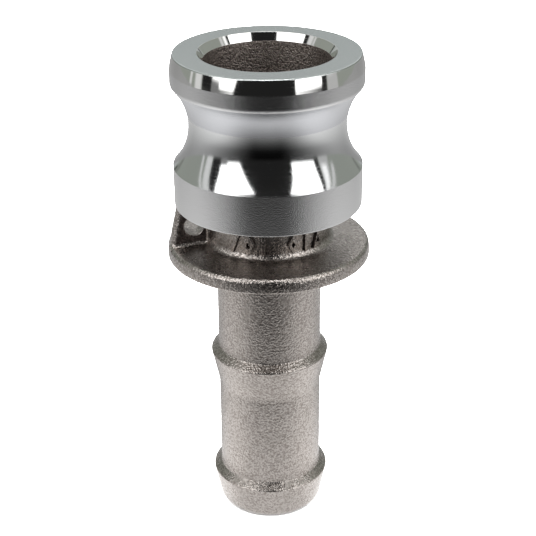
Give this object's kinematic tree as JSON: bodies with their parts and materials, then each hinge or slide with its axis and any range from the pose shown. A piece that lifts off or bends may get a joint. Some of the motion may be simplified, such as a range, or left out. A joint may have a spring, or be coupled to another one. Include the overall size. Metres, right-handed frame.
{
  "type": "cam and groove hose adapter",
  "caption": "Male cam-and-groove adapter with a barbed hose shank, a hose-stop collar and a drilled tether lug, bored through from end to end.",
  "frame": {"origin": "centre of the bore at the end of the hose shank, the face that the adapter stands on", "axes": "+Z along the bore towards the cam-groove head, -X towards the tether lug"},
  "size_m": [0.0352, 0.0352, 0.086],
  "materials": {
    "turned_steel": "stainless steel turned bright, polished on the tapers and satin on the lands",
    "cast_steel": "stainless steel as investment cast and bead blasted, satin with a fine grain"
  },
  "bodies": {
    "root": {"cam_groove_head": "turned_steel", "cast_neck": "cast_steel", "tether_lug": "cast_steel", "hose_stop_collar": "cast_steel", "hose_shank": "cast_steel"}
  },
  "joints": []
}
